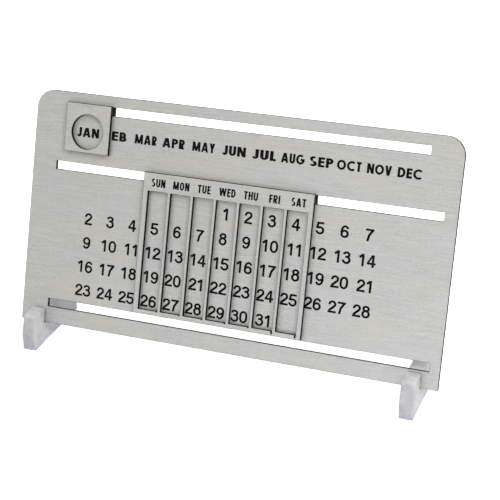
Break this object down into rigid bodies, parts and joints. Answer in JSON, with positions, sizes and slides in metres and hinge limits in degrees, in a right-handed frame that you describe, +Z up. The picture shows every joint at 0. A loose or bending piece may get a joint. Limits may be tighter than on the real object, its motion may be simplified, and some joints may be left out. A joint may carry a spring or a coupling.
{
  "type": "perpetual desk calendar",
  "caption": "Desk calendar: a slotted panel leaning in two slit feet, with a sliding month marker and a sliding week frame over a grid of day numbers.",
  "frame": {"origin": "on the desk, under the middle of the whole calendar's box", "axes": "+X to the reader's right along the panel's edge, +Y to the back, +Z up"},
  "size_m": [0.2, 0.0506, 0.1105],
  "materials": {
    "silver_laminate": "brushed silver cap on a black core",
    "black_core": "matt black laser-cut core",
    "frosted_acrylic": "frosted, slightly bluish"
  },
  "bodies": {
    "stand": {"main_panel": "silver_laminate", "left_foot": "frosted_acrylic", "right_foot": "frosted_acrylic"},
    "month_slider": {"month_tile": "silver_laminate", "month_runner": "black_core", "month_keeper": "black_core"},
    "week_slider": {"week_frame": "silver_laminate", "week_runner": "black_core", "week_keeper": "black_core"}
  },
  "joints": [
    {"name": "month_slide", "type": "slide", "parent": "stand", "child": "month_slider", "axis": [1, 0, 0], "range_m": [0, 0.1504]},
    {"name": "week_slide", "type": "slide", "parent": "stand", "child": "week_slider", "axis": [1, 0, 0], "range_m": [-0.0482, 0.0597]}
  ]
}
